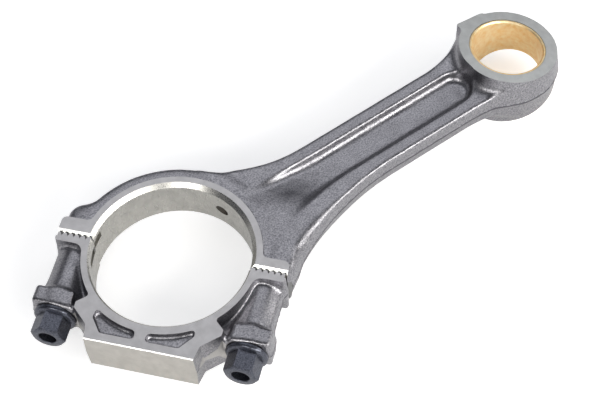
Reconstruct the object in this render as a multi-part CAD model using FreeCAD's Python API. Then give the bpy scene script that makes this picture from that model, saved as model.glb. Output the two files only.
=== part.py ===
"""Forged truck connecting rod with an oblique, serrated big-end split.

Frame (mm): origin at the centre of the big-end bore at mid width, +X runs along the
rod to the small end, +Z runs along both bores.  The joint of rod and cap lies in a
plane through the origin; in the joint frame +S runs along that plane and +B points
from the cap to the rod, so the cap bolts are parallel to B.
"""

import math
import os

import FreeCAD
import Part

# ---- driving dimensions (mm, degrees) --------------------------------------
CENTRE_DISTANCE = 256.0
BIG_BORE_RADIUS = 49.0
BIG_WIDTH = 31.0
SPLIT_ANGLE = 41.0             # bolt axes against the rod axis
FORGING_EDGE = 4.0             # rounding of unmachined rims

RING_RADIUS = 55.5             # machined thrust ring round the big bore
EYE_RADIUS = 64.0              # forged wall round the big bore
FORGED_WIDTH = 27.0            # unmachined width of the big end
ROD_BORE_CHAMFER = 2.6
CAP_BORE_CHAMFER = 1.0

SERRATION_PITCH = 3.8
SERRATION_DEPTH = 2.2
SERRATION_GAP = 0.02           # clearance left between the two toothed faces
JOINT_HALF_LENGTH = 72.5
JOINT_EDGE_CHAMFER = 3.5       # bevel on the rod side of the joint
PAD_LEFT_HEIGHT = 12.0         # machined pads behind the joint
PAD_RIGHT_HEIGHT = 9.5

SHANK_FROM_X = 112.0
FLARE_FROM_X = 203.0
SHANK_HALF_WIDTH = 21.0
SHANK_HALF_THICKNESS = 9.0
WEB_HALF_THICKNESS = 3.3
NECK_SECTIONS = (              # x, low side, high side, half thickness
    (36.0, -52.0, 50.0, 13.5),
    (58.0, -43.0, 38.0, 12.6),
    (82.0, -30.5, 26.5, 11.0),
)
FLARE_SECTIONS = (
    (221.0, -23.0, 24.0, 9.3),
    (240.0, -28.5, 31.0, 11.0),
)
TROUGH_HALF_WIDTH = 11.5
TROUGH_COVE = 4.2
TROUGH_END_X = 226.0
TROUGH_RING_GAP = 58.5         # radius where the trough starts beside the ring
TROUGH_MOUTH_Y = -19.5
TROUGH_FLAT_FROM_X = 116.0     # floor is level from here to the small end

SMALL_OUTER_RADIUS = 33.0      # at mid width, before draft
SMALL_DRAFT = 0.09             # radius lost per mm of width
SMALL_HALF_WIDTH = 17.1        # at the small-end centre
WEDGE_SLOPE = 0.18             # both faces close towards the tip
LUG_FROM_X = 240.0
LUG_TO_X = 262.0
LUG_TOP_Y = 32.5

PIN_BORE_RADIUS = 22.5
BUSH_OUTER_RADIUS = 24.25
BUSH_SUB_FLUSH = 0.3
BUSH_CHAMFER = 0.8

OIL_DRILL_RADIUS = 2.0
OIL_START_ANGLE = 17.0         # where the drilling leaves the big bore
OIL_COUNTERSINK = 1.0

BOLT_OFFSET = 59.2             # bolt axes either side of the bore centre
BOLT_RADIUS = 7.0              # M14 x 1.5
BOLT_WAIST_RADIUS = 6.2
GUIDE_LENGTH = 8.0             # full-diameter shank under the head
THREAD_LENGTH = 20.0           # engaged in the rod
THREAD_HOLE_DEPTH = 22.5
THREAD_HOLE_TIP = 3.0
RUNNING_GAP = 0.05             # radial, round the bolt
SEAT_B = -47.0                 # bolt seat on the cap
FLANGE_RADIUS = 13.0
FLANGE_HEIGHT = 3.2
FLANGE_CHAMFER = 0.8
HEX_ACROSS_FLATS = 19.0
HEX_TURN = 78.0                # direction a flat faces, from S towards Z
HEAD_HEIGHT = 16.0             # seat to end face
CROWN_INSET = 0.6              # end face radius below half the flats
CROWN_SLOPE = 1.7              # radius gained per mm away from the end face
HEAD_HOLLOW_RADIUS = 5.5
HEAD_HOLLOW_DEPTH = 7.0
TIP_CHAMFER = 1.0

COLUMN_RADIUS = 11.0
WEB_INNER = 40.0               # thin web between column and bore
CAP_WEB_HALF_THICKNESS = 6.0
CAP_RING_RADIUS = 54.5
BOSS_OUTER = 74.0
BOSS_INNER = 43.0
BOSS_HALF_THICKNESS = 12.5
BOSS_EDGE = 4.0
BOSS_START_B = -33.0
BALANCE_PAD_END = -66.0
BALANCE_PAD_HALF_LENGTH = 34.0
POCKET_DEPTH = 2.5
POCKET_ARC_RADIUS = 55.0
POCKET_OUTER_B = -60.5
POCKET_NEAR_S = 4.0            # ends of the pocket's outer side
POCKET_FAR_S = 24.0
POCKET_TIP_S = 28.5            # where the side next to the bore ends
POCKET_CORNER = 1.6

TANG_WIDTH = 5.5
TANG_DEPTH = 1.8
ROD_TANG = (0.0, 9.5, 7.5)     # from B, to B, height of its middle
CAP_TANG = (-13.0, 0.0, 5.0)

HALF_WIDTH = BIG_WIDTH / 2
FORGED_HALF = FORGED_WIDTH / 2
Z_AXIS = FreeCAD.Vector(0, 0, 1)
ORIGIN = FreeCAD.Vector(0, 0, 0)
FAR_AWAY = 400.0
TALL = 40.0                    # beyond both faces of every piece


# ---- small helpers -----------------------------------------------------------
def vec(x, y, z=0.0):
    return FreeCAD.Vector(x, y, z)


def joint_to_rod(shape):
    """Turn a shape drawn in the joint frame (S, B, Z) into the rod frame."""
    turned = shape.copy()
    turned.rotate(ORIGIN, Z_AXIS, SPLIT_ANGLE - 90.0)
    return turned


def joint_point(s, b):
    """Rod-frame point of joint-frame coordinates."""
    angle = math.radians(SPLIT_ANGLE - 90.0)
    return vec(s * math.cos(angle) - b * math.sin(angle), s * math.sin(angle) + b * math.cos(angle))


def prism(points, z_low, z_high):
    """Solid between two heights from a closed outline of points."""
    ring = [vec(p[0], p[1], z_low) for p in points]
    ring.append(ring[0])
    face = Part.Face(Part.makePolygon(ring))
    return face.extrude(vec(0, 0, z_high - z_low))


def prism_from_edges(edges, z_low, z_high):
    """Solid between two heights from a chain of plane edges drawn at height 0."""
    face = Part.Face(Part.Wire(edges))
    face.translate(vec(0, 0, z_low))
    return face.extrude(vec(0, 0, z_high - z_low))


def disc(radius, half_height, centre_x=0.0):
    """Upright cylinder centred on mid width."""
    return Part.makeCylinder(radius, 2 * half_height, vec(centre_x, 0, -half_height))


def box(s_low, s_high, b_low, b_high, half_z):
    """Block in the joint frame, centred on mid width."""
    return Part.makeBox(s_high - s_low, b_high - b_low, 2 * half_z, vec(s_low, b_low, -half_z))


def edges_along(shape, direction):
    """Straight edges of a shape parallel to a direction."""
    found = []
    for edge in shape.Edges:
        if edge.Curve.TypeId != "Part::GeomLine":
            continue
        if abs(abs(edge.tangentAt(edge.FirstParameter).dot(direction)) - 1) < 1e-6:
            found.append(edge)
    return found


def rim_edges(shape, z):
    """Edges of a shape that lie wholly at one height."""
    found = []
    for edge in shape.Edges:
        box_of_edge = edge.BoundBox
        if abs(box_of_edge.ZMin - z) < 1e-6 and abs(box_of_edge.ZMax - z) < 1e-6:
            found.append(edge)
    return found


def round_rims(shape, half_z, radius):
    """Round the upper and lower rims of a prism."""
    return shape.makeFillet(radius, rim_edges(shape, half_z) + rim_edges(shape, -half_z))


def fuse(first, *others):
    return first.fuse(list(others)).removeSplitter()


def arc(start, middle, end):
    return Part.Arc(start, middle, end).toShape()


def line(start, end):
    return Part.makeLine(start, end)


# ---- joint faces ---------------------------------------------------------------
def serration_prism(shift, b_far):
    """Everything on one side of the toothed joint, reaching out to b_far."""
    half_teeth = int(JOINT_HALF_LENGTH // SERRATION_PITCH) + 3
    reach = half_teeth * SERRATION_PITCH
    points = []
    for tooth in range(-half_teeth, half_teeth):
        left = tooth * SERRATION_PITCH
        points.append((left, shift - SERRATION_DEPTH / 2))
        points.append((left + SERRATION_PITCH / 2, shift + SERRATION_DEPTH / 2))
    points.append((reach, shift - SERRATION_DEPTH / 2))
    points.append((FAR_AWAY, shift - SERRATION_DEPTH / 2))
    points.append((FAR_AWAY, b_far))
    points.append((-FAR_AWAY, b_far))
    points.append((-FAR_AWAY, shift - SERRATION_DEPTH / 2))
    return prism(points, -TALL, TALL)


def bore_chamfer(chamfer, side):
    """Cone that bevels one end of the big bore and reaches past it; side is +1 or -1."""
    reach = 3.0
    wide = BIG_BORE_RADIUS + chamfer + reach
    narrow = BIG_BORE_RADIUS
    base = vec(0, 0, side * (HALF_WIDTH + reach))
    return Part.makeCone(wide, narrow, chamfer + reach, base, vec(0, 0, -side))


def big_bore(chamfer):
    return disc(BIG_BORE_RADIUS, TALL).fuse([bore_chamfer(chamfer, 1), bore_chamfer(chamfer, -1)])


def tang_slot(b_low, b_high, z_centre):
    """Locating slot for a bearing shell, cut in the bore wall beside the joint."""
    corner = vec(-BIG_BORE_RADIUS - TANG_DEPTH, b_low, z_centre - TANG_WIDTH / 2)
    return joint_to_rod(Part.makeBox(5.0, b_high - b_low, TANG_WIDTH, corner))


# ---- rod body --------------------------------------------------------------------
def eye_ring():
    forged = round_rims(disc(EYE_RADIUS, FORGED_HALF), FORGED_HALF, FORGING_EDGE)
    return fuse(forged, disc(RING_RADIUS, HALF_WIDTH))


def left_shoulder():
    """Lump that carries the thread of the left bolt."""
    outline = [(-72.0, -2.0), (-71.5, 14.0), (-69.5, 25.0), (-62.0, 31.0), (-48.0, 42.0), (-30.0, 40.0),
               (-30.0, -2.0)]
    solid = prism(outline, -FORGED_HALF, FORGED_HALF)
    return joint_to_rod(round_rims(solid, FORGED_HALF, FORGING_EDGE))


def right_shoulder():
    """Lump that carries the thread of the right bolt and runs into the shank."""
    half_z = FORGED_HALF - 1.0
    outline = [joint_point(30, -2), joint_point(73, -2), joint_point(73.5, 12), vec(65, -41),
               vec(74, -34.5), vec(80, 0), vec(40, 0)]
    solid = prism([(p.x, p.y) for p in outline], -half_z, half_z)
    return round_rims(solid, half_z, FORGING_EDGE)


def joint_pads():
    left = box(-JOINT_HALF_LENGTH, -46.0, -3.0, PAD_LEFT_HEIGHT, HALF_WIDTH)
    right = box(46.0, JOINT_HALF_LENGTH, -3.0, PAD_RIGHT_HEIGHT, HALF_WIDTH)
    return joint_to_rod(fuse(left, right))


def rounded_section(x, y_low, y_high, half_z):
    """Closed wire of a rounded rectangle across the rod at a given x."""
    corners = [vec(x, y_low, -half_z), vec(x, y_high, -half_z), vec(x, y_high, half_z), vec(x, y_low, half_z)]
    section = Part.makePolygon(corners + [corners[0]])
    slab = Part.Face(section).extrude(vec(1, 0, 0))
    rounded = slab.makeFillet(FORGING_EDGE, edges_along(slab, vec(1, 0, 0)))
    for face in rounded.Faces:
        if abs(face.BoundBox.XMin - x) < 1e-6 and abs(face.BoundBox.XMax - x) < 1e-6:
            return face.OuterWire
    raise ValueError("no end face on the section")


def shank_section(x):
    return rounded_section(x, -SHANK_HALF_WIDTH, SHANK_HALF_WIDTH, SHANK_HALF_THICKNESS)


def neck():
    """Body between the big end and the parallel shank."""
    sections = [rounded_section(*section) for section in NECK_SECTIONS]
    sections.append(shank_section(SHANK_FROM_X))
    return Part.makeLoft(sections, True, False)


def shank():
    """Parallel part between neck and flare."""
    face = Part.Face(shank_section(SHANK_FROM_X))
    return face.extrude(vec(FLARE_FROM_X - SHANK_FROM_X, 0, 0))


def flare():
    """Shank spreading into the sides of the small end."""
    sections = [shank_section(FLARE_FROM_X)]
    sections += [rounded_section(*section) for section in FLARE_SECTIONS]
    return Part.makeLoft(sections, True, False)


def small_end_blank():
    """Drafted boss and locating lug, still taller than the finished faces."""
    tall = 26.0
    slim = SMALL_OUTER_RADIUS - SMALL_DRAFT * tall
    upper = Part.makeCone(SMALL_OUTER_RADIUS, slim, tall, vec(CENTRE_DISTANCE, 0, 0))
    lower = Part.makeCone(SMALL_OUTER_RADIUS, slim, tall, vec(CENTRE_DISTANCE, 0, 0), vec(0, 0, -1))
    lug_outline = [(LUG_FROM_X, 10.0), (LUG_TO_X, 10.0), (LUG_TO_X, LUG_TOP_Y), (LUG_FROM_X, LUG_TOP_Y)]
    return fuse(upper, lower, prism(lug_outline, -tall, tall))


def wedge_slab(sub_flush=0.0):
    """Space between the two inclined small-end faces."""
    reach = 60.0
    near_x = CENTRE_DISTANCE - reach
    far_x = CENTRE_DISTANCE + reach
    near_z = SMALL_HALF_WIDTH - sub_flush + reach * WEDGE_SLOPE
    far_z = SMALL_HALF_WIDTH - sub_flush - reach * WEDGE_SLOPE
    corners = [vec(near_x, -reach, -near_z), vec(far_x, -reach, -far_z), vec(far_x, -reach, far_z),
               vec(near_x, -reach, near_z)]
    return Part.Face(Part.makePolygon(corners + [corners[0]])).extrude(vec(0, 2 * reach, 0))


def trough(side):
    """Recess between the rails of one face; its floor rises to nothing beside the thrust ring."""
    half = TROUGH_HALF_WIDTH
    end_centre = TROUGH_END_X - half
    upper_ring = vec(math.sqrt(TROUGH_RING_GAP ** 2 - half ** 2), half)
    lower_ring = vec(math.sqrt(TROUGH_RING_GAP ** 2 - TROUGH_MOUTH_Y ** 2), TROUGH_MOUTH_Y)
    edges = [
        line(upper_ring, vec(end_centre, half)),
        arc(vec(end_centre, half), vec(TROUGH_END_X, 0), vec(end_centre, -half)),
        line(vec(end_centre, -half), vec(TROUGH_FLAT_FROM_X, -half)),
        arc(vec(TROUGH_FLAT_FROM_X, -half), vec(97.0, -14.2), vec(80.0, TROUGH_MOUTH_Y)),
        line(vec(80.0, TROUGH_MOUTH_Y), lower_ring),
        arc(lower_ring, vec(TROUGH_RING_GAP, 0), upper_ring),
    ]
    solid = prism_from_edges(edges, WEB_HALF_THICKNESS, 20.0)
    solid = solid.makeFillet(TROUGH_COVE, rim_edges(solid, WEB_HALF_THICKNESS))
    solid = solid.cut(trough_ramp())
    if side < 0:
        solid = solid.mirror(ORIGIN, Z_AXIS)
    return solid


def trough_ramp():
    """Metal under the sloping floor between the ring and the parallel shank."""
    start = vec(TROUGH_RING_GAP - 30.0, -60.0, 0)
    rise = (FORGED_HALF - WEB_HALF_THICKNESS) / (TROUGH_FLAT_FROM_X - TROUGH_RING_GAP)
    top = vec(start.x, -60.0, FORGED_HALF + 30.0 * rise)
    toe = vec(TROUGH_FLAT_FROM_X + 1.0 / rise, -60.0, WEB_HALF_THICKNESS - 1.0)
    outline = [start, vec(toe.x, -60.0, 0), toe, top]
    return Part.Face(Part.makePolygon(outline + [start])).extrude(vec(0, 120.0, 0))


def oil_path():
    """Start point on the big bore and unit direction of the pin oil drilling."""
    angle = math.radians(OIL_START_ANGLE)
    start = vec(BIG_BORE_RADIUS * math.cos(angle), BIG_BORE_RADIUS * math.sin(angle))
    target = vec(CENTRE_DISTANCE - PIN_BORE_RADIUS, 0)
    return start, (target - start).normalize()


def oil_drilling():
    start, direction = oil_path()
    back = start - direction * 10.0
    length = CENTRE_DISTANCE - PIN_BORE_RADIUS - BIG_BORE_RADIUS + 20.0
    hole = Part.makeCylinder(OIL_DRILL_RADIUS, length, back, direction)
    reach = 2.0
    mouth_radius = OIL_DRILL_RADIUS + OIL_COUNTERSINK + reach
    mouth = Part.makeCone(mouth_radius, OIL_DRILL_RADIUS, OIL_COUNTERSINK + reach, start - direction * reach,
                          direction)
    return hole.fuse(mouth)


def thread_holes():
    """Blind tapped holes for the two cap bolts, drawn at the thread's outer radius."""
    holes = []
    radius = BOLT_RADIUS + RUNNING_GAP
    reach = 5.0
    for side in (-1, 1):
        base = vec(side * BOLT_OFFSET, -reach, 0)
        hole = Part.makeCylinder(radius, THREAD_HOLE_DEPTH + reach, base, vec(0, 1, 0))
        bottom = vec(side * BOLT_OFFSET, THREAD_HOLE_DEPTH, 0)
        tip = Part.makeCone(radius, 0.0, THREAD_HOLE_TIP, bottom, vec(0, 1, 0))
        holes.append(hole.fuse(tip))
    return joint_to_rod(holes[0].fuse(holes[1]))


def joint_edge_bevels():
    """Bevels that break the rod's joint face at both width ends."""
    bevels = []
    for side in (-1, 1):
        outer = side * (HALF_WIDTH + 1.0)
        inner = side * (HALF_WIDTH - JOINT_EDGE_CHAMFER)
        far = JOINT_EDGE_CHAMFER + 1.0
        low = -4.0
        corners = [vec(-90, low, inner + side * low), vec(-90, far, outer), vec(-90, low, outer)]
        bevels.append(Part.Face(Part.makePolygon(corners + [corners[0]])).extrude(vec(180, 0, 0)))
    return joint_to_rod(bevels[0].fuse(bevels[1]))


def make_rod_body():
    body = fuse(eye_ring(), left_shoulder(), right_shoulder(), joint_pads(), neck(), shank(), flare())
    small = small_end_blank()
    body = fuse(body, small).common(wedge_slab_with_rest())
    body = body.cut([trough(1), trough(-1)])
    body = body.common(joint_to_rod(serration_prism(SERRATION_GAP, FAR_AWAY)))
    body = body.cut(joint_edge_bevels())
    body = body.cut(big_bore(ROD_BORE_CHAMFER))
    body = body.cut(disc(BUSH_OUTER_RADIUS, TALL, CENTRE_DISTANCE))
    body = body.cut(thread_holes())
    body = body.cut(oil_drilling())
    body = body.cut(tang_slot(*ROD_TANG))
    return body.removeSplitter()


def wedge_slab_with_rest():
    """Wedge faces over the small end, nothing trimmed elsewhere."""
    rest = Part.makeBox(320.0, 300.0, 80.0, vec(-100.0, -150.0, -40.0))
    return fuse(wedge_slab(), rest)


# ---- bearing cap ---------------------------------------------------------------
def cap_face_block():
    """Full-width part of the cap: band round the bore, joint blocks and balance pad."""
    right = [(0, BALANCE_PAD_END), (BALANCE_PAD_HALF_LENGTH, BALANCE_PAD_END), (35.5, -57), (45.5, -47),
             (46.5, -42), (41.5, -37)]
    band = joint_band_points()
    joint = [(55.0, -7.5), (58.0, -5.5), (JOINT_HALF_LENGTH, -5.5), (JOINT_HALF_LENGTH, 3)]
    side = right + band + joint
    mirrored = [(-s, b) for s, b in reversed(side) if s > 0]
    return prism(side + mirrored, -HALF_WIDTH, HALF_WIDTH)


def joint_band_points():
    """Outer edge of the narrow band between bore and bolt column."""
    points = []
    for angle in (-40, -32, -24, -16):
        turn = math.radians(angle)
        points.append((CAP_RING_RADIUS * math.cos(turn), CAP_RING_RADIUS * math.sin(turn)))
    return points


def bolt_column(side):
    """Forged column round one bolt, with its boss under the bolt head."""
    barrel = Part.makeCylinder(COLUMN_RADIUS, -SEAT_B, vec(BOLT_OFFSET, SEAT_B, 0), vec(0, 1, 0))
    web = box(WEB_INNER, BOLT_OFFSET, SEAT_B, -2.0, CAP_WEB_HALF_THICKNESS)
    boss = box(BOSS_INNER, BOSS_OUTER, SEAT_B, BOSS_START_B, BOSS_HALF_THICKNESS)
    upper_edges = [e for e in boss.Edges if e.BoundBox.YMin > BOSS_START_B - 1e-6]
    boss = boss.makeFillet(BOSS_EDGE, upper_edges + edges_along(boss, vec(0, 1, 0)))
    pieces = [barrel, web, boss]
    if side < 0:
        pieces = [piece.mirror(ORIGIN, vec(1, 0, 0)) for piece in pieces]
    return pieces


def cap_pocket(side, end):
    """Shallow pocket beside the balance pad; end is +1 for the upper face."""
    near = arc_point(POCKET_ARC_RADIUS, POCKET_NEAR_S)
    middle = arc_point(POCKET_ARC_RADIUS, (POCKET_NEAR_S + POCKET_TIP_S) / 2)
    tip = arc_point(POCKET_ARC_RADIUS, POCKET_TIP_S)
    outer_far = vec(POCKET_FAR_S, POCKET_OUTER_B)
    outer_near = vec(POCKET_NEAR_S, POCKET_OUTER_B)
    edges = [
        arc(near, middle, tip),
        line(tip, outer_far),
        line(outer_far, outer_near),
        line(outer_near, near),
    ]
    solid = prism_from_edges(edges, HALF_WIDTH - POCKET_DEPTH, TALL)
    solid = solid.makeFillet(POCKET_CORNER, edges_along(solid, Z_AXIS))
    if side < 0:
        solid = solid.mirror(ORIGIN, vec(1, 0, 0))
    if end < 0:
        solid = solid.mirror(ORIGIN, Z_AXIS)
    return solid


def arc_point(radius, s):
    """Point below the bore on a circle round it."""
    return vec(s, -math.sqrt(radius ** 2 - s ** 2))


def clearance_holes():
    """Bolt holes through the cap columns."""
    holes = []
    reach = 5.0
    for side in (-1, 1):
        base = vec(side * BOLT_OFFSET, SEAT_B - reach, 0)
        hole = Part.makeCylinder(BOLT_RADIUS + RUNNING_GAP, 2 * reach - SEAT_B, base, vec(0, 1, 0))
        holes.append(hole)
    return holes


def make_bearing_cap():
    pieces = bolt_column(-1) + bolt_column(1)
    cap = fuse(cap_face_block(), *pieces)
    cap = cap.common(serration_prism(-SERRATION_GAP, -FAR_AWAY))
    cap = cap.cut(clearance_holes())
    cap = cap.cut([cap_pocket(s, e) for s in (-1, 1) for e in (-1, 1)])
    cap = cap.cut(big_bore(CAP_BORE_CHAMFER))
    cap = joint_to_rod(cap).cut(tang_slot(*CAP_TANG))
    return cap.removeSplitter()


# ---- small-end bush ----------------------------------------------------------
def make_bush():
    """Bronze bush pressed in the small end, trimmed to its inclined faces."""
    blank = disc(BUSH_OUTER_RADIUS, TALL, CENTRE_DISTANCE)
    blank = blank.cut(disc(PIN_BORE_RADIUS, TALL, CENTRE_DISTANCE))
    bush = blank.common(wedge_slab(BUSH_SUB_FLUSH))
    inner_rims = [e for e in bush.Edges if rim_radius(e) < PIN_BORE_RADIUS + 0.5 and not is_seam(e)]
    bush = bush.makeChamfer(BUSH_CHAMFER, inner_rims)
    return bush.cut(oil_drilling())


def rim_radius(edge):
    """Distance of an edge's middle from the small-end axis."""
    middle = edge.valueAt((edge.FirstParameter + edge.LastParameter) / 2)
    return math.hypot(middle.x - CENTRE_DISTANCE, middle.y)


def is_seam(edge):
    return edge.Curve.TypeId == "Part::GeomLine"


# ---- cap bolts -----------------------------------------------------------------
def hex_prism(across_flats, height):
    """Hexagonal bar reaching from the origin along -B."""
    corner = across_flats / math.sqrt(3)
    points = []
    for step in range(6):
        angle = math.radians(HEX_TURN + 30 + 60 * step)
        points.append(vec(corner * math.cos(angle), 0, corner * math.sin(angle)))
    face = Part.Face(Part.makePolygon(points + [points[0]]))
    return face.extrude(vec(0, -height, 0))


def edges_at_b(shape, b):
    """Circular edges of a shape at one place along B."""
    return [e for e in shape.Edges if abs(e.BoundBox.YMin - b) < 1e-6 and abs(e.BoundBox.YMax - b) < 1e-6]


def bolt_head():
    """Flange and crowned hexagon with a hollow in its end face."""
    axis = vec(0, 1, 0)
    seat = vec(0, SEAT_B, 0)
    end = vec(0, SEAT_B - HEAD_HEIGHT, 0)
    flange = Part.makeCylinder(FLANGE_RADIUS, FLANGE_HEIGHT, seat, vec(0, -1, 0))
    flange = flange.makeChamfer(FLANGE_CHAMFER, edges_at_b(flange, SEAT_B - FLANGE_HEIGHT))
    hexagon = hex_prism(HEX_ACROSS_FLATS, HEAD_HEIGHT)
    hexagon.translate(seat)
    end_radius = HEX_ACROSS_FLATS / 2 - CROWN_INSET
    crown = Part.makeCone(end_radius, end_radius + CROWN_SLOPE * HEAD_HEIGHT, HEAD_HEIGHT, end, axis)
    hollow = Part.makeCylinder(HEAD_HOLLOW_RADIUS, HEAD_HOLLOW_DEPTH, end, axis)
    return fuse(flange, hexagon.common(crown)).cut(hollow)


def bolt_shank():
    """Guide, waist and thread, the thread drawn at its outer radius."""
    axis = vec(0, 1, 0)
    seat = vec(0, SEAT_B, 0)
    overlap = 2.0
    guide = Part.makeCylinder(BOLT_RADIUS, GUIDE_LENGTH, seat, axis)
    waist = Part.makeCylinder(BOLT_WAIST_RADIUS, -SEAT_B, seat, axis)
    thread = Part.makeCylinder(BOLT_RADIUS, THREAD_LENGTH + overlap, vec(0, -overlap, 0), axis)
    thread = thread.makeChamfer(TIP_CHAMFER, edges_at_b(thread, THREAD_LENGTH))
    return fuse(guide, waist, thread)


def make_bolt(side):
    """Flanged hexagon bolt on one side of the joint."""
    bolt = fuse(bolt_head(), bolt_shank())
    bolt.translate(vec(side * BOLT_OFFSET, 0, 0))
    return joint_to_rod(bolt)


# ---- output ----------------------------------------------------------------------
def main():
    nodes = {
        "rod_body": make_rod_body(),
        "bearing_cap": make_bearing_cap(),
        "small_end_bush": make_bush(),
        "cap_bolt_left": make_bolt(-1),
        "cap_bolt_right": make_bolt(1),
    }
    os.makedirs("parts", exist_ok=True)
    for name, solid in nodes.items():
        print(name, len(solid.Solids), solid.isValid(), round(solid.Volume))
        solid.exportStep(os.path.join("parts", name + ".step"))


main()
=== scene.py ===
"""Looks of the forged connecting rod: forged skins, machined faces, threaded bolts and studio.

The two forgings are drawn as fields (negative inside the metal) on a fine grid, meshed, and then
cut by crisp tools, the way the real blanks are forged first and machined afterwards.  All shape
work is in millimetres in the CAD's frame: the rod lies along +X, both bores along Z, the big-end
bore centre at the origin.  In the joint frame S runs along the split and B points to the rod.
"""

import math

import bmesh
import bpy
import numpy as np
import openvdb
from mathutils import Matrix, Vector


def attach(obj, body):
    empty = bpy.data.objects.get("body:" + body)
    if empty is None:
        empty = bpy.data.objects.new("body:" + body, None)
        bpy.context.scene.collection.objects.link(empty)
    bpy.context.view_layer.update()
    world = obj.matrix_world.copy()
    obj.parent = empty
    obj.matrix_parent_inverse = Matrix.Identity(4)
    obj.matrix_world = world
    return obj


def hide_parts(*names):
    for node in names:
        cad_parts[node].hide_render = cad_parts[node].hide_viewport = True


# ---- driving dimensions (mm, degrees) --------------------------------------
CENTRE_DISTANCE = 256.0
SPLIT_ANGLE = 41.0
HALF_WIDTH = 15.5              # machined thrust faces
FORGED_HALF = 13.5             # forged skin beside them

BIG_BORE_RADIUS = 49.0
RING_RADIUS = 55.5
EYE_RADIUS = 65.2              # at mid width, before draft
LEFT_LUMP = ((-61.4, -2.0), (-60.4, 16.3), 11.4)    # start, end and radius, joint frame
RIGHT_LUMP = ((61.5, -2.0), (62.5, 12.0), 12.2)
ROD_BORE_CHAMFER = 2.6
CAP_BORE_CHAMFER = 1.0

SERRATION_PITCH = 3.8
TOOTH_CREST_B = -1.1           # tips of the rod's teeth
ROD_ROOT_B = 2.3               # sharp roots between them
CAP_CREST_B = 0.9              # flattened tips of the cap's teeth
JOINT_HALF_LENGTH = 72.5
JOINT_EDGE_CHAMFER = 3.5
RELIEF_LENGTH = 1.6            # at each end of the cap's joint face
RELIEF_DEPTH = 1.9
TANG_DEPTH = 1.8
TANG_HALF_WIDTH = 2.75
ROD_TANG = (0.0, 9.5, 7.5)     # first b, last b and centre z of the slot
CAP_TANG = (-13.0, 0.0, 5.0)
JOINT_PAD_HALF_S = 13.8        # raised flats beside the joint
LEFT_PAD_HALF_B = 12.5
RIGHT_PAD_HALF_B = 9.5

SHANK_HALF_WIDTH = 21.8        # at mid width, before draft
SHANK_HALF_THICKNESS = 9.0
SHANK_START_X = 49.0
SHANK_MIDDLE_X = 170.0
SHANK_END_X = 243.0
UPPER_NECK = (104.0, 83.0)     # x where a side's arc ends, and its radius
LOWER_NECK = (150.0, 171.0)
UPPER_FLARE = (205.0, 72.0)    # x where a side's arc starts, and its radius
LOWER_FLARE = (205.0, 150.0)
RING_TUCK = 2.0                # the upper side draws in beside the thrust ring
RING_TUCK_X = (68.0, 50.0)
NECK_EDGE = 9.0                # extra rounding of the neck's lower edge
NECK_EDGE_X = (115.0, 60.0)
NECK_FALL_X = (40.0, 122.0)    # the skin falls to the shank's thickness
FLARE_RISE_X = (208.0, 248.0)  # and rises again towards the small end
FLARE_RISE = 2.6
SHOULDER_END_X = 70.0          # the neck is trimmed by a slanted line before this
SHOULDER_NORMAL = (0.316, -0.949)
SHOULDER_DISTANCE = 64.6

WEB_HALF_THICKNESS = 3.2
TROUGH_HALF_WIDTH = 11.5
TROUGH_EXTRA_DEPTH = 0.5
TROUGH_END_X = 224.5
TROUGH_LEVEL_FROM_X = 116.0
TROUGH_CURVE = (124.0, 125.0)  # x where the lower side starts to widen, and its radius
TROUGH_RING_GAP = 1.5

SMALL_OUTER_RADIUS = 33.0
SMALL_HALF_WIDTH = 17.1
WEDGE_SLOPE = 0.18
LUG_CENTRE = (250.5, 20.0)
LUG_HALF = (11.0, 13.3)
BUSH_OUTER_RADIUS = 24.25
BUSH_EDGE_GAP = 0.25           # broken edges read as a thin dark ring

OIL_DRILL_RADIUS = 2.0
OIL_MOUTH_RADIUS = 3.2
OIL_START_ANGLE = 17.0

BOLT_OFFSET = 59.2
BOLT_HOLE_RADIUS = 7.05
THREAD_HOLE_DEPTH = 22.5
THREAD_HOLE_CHAMFER = 1.2
SEAT_B = -47.0
SEAT_RADIUS = 13.8
HEX_ACROSS_FLATS = 19.0
HEX_CORNER_RADIUS = 10.85
HEX_TURN = -78.0               # direction one flat faces
HEAD_HEIGHT = 16.0
HEAD_HOLLOW_RADIUS = 5.5
HEAD_HOLLOW_DEPTH = 7.0
CROWN_STEP = 0.6               # the crown starts this far inside the flats
CROWN_SLOPE = 1.7
FLANGE_HEIGHT = 3.2
FLANGE_RADIUS = 13.0
BOLT_RADIUS = 7.0
BOLT_WAIST_RADIUS = 6.2
WAIST_FROM_Z = 9.0             # along the bolt from its seat
BOLT_TIP_RADIUS = 5.2
BOLT_SEGMENTS = 96
THREAD_PITCH = 1.5
THREAD_DEPTH = 0.9
THREAD_FROM_Z = 45.0
THREAD_TO_Z = 66.4
THREAD_RINGS_PER_TURN = 12

CAP_RING_RADIUS = 54.6
COLUMN_RADIUS = 10.8
COLUMN_SWELL = 1.4
JOINT_BLOCK_CENTRE_S = 58.0
JOINT_BLOCK_DEPTH = 5.9
POCKET_ARC_RADIUS = 54.8
POCKET_DEPTH = 3.3
POCKET_SHIFT = 1.2             # the pair sits a little towards the left bolt
BOSS_START_B = -33.8
BOSS_END_B = -47.4
BOSS_CENTRE_S = 60.9
BOSS_HALF_S = 13.1
BOSS_HALF_Z = 12.6
CAP_WEB_HALF_Z = 4.5
CAP_RIM_HALF_Z = 9.5
BALANCE_PAD_END = -66.0
PAD_EDGE_CHAMFER = 0.6

DRAFT = 0.09                   # forging draft, mm per mm
FLASH_HEIGHT = 0.5             # trimmed ridge round the parting plane
FLASH_HALF_WIDTH = 0.8
OPEN_TOP = 40.0                # higher than any face; the machining sets the height
CLEAR = 120.0                  # cutters reach this far, past the sides of the big end
CLEAR_HALF = 50.0              # and this far, past its faces
CLEAR_B = 200.0                # and the joint's cutters this far along B
CUT_HALF = 30.0                # half height of a cutter through the big end
GRID_STEP = 0.75
MM = 0.001

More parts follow.
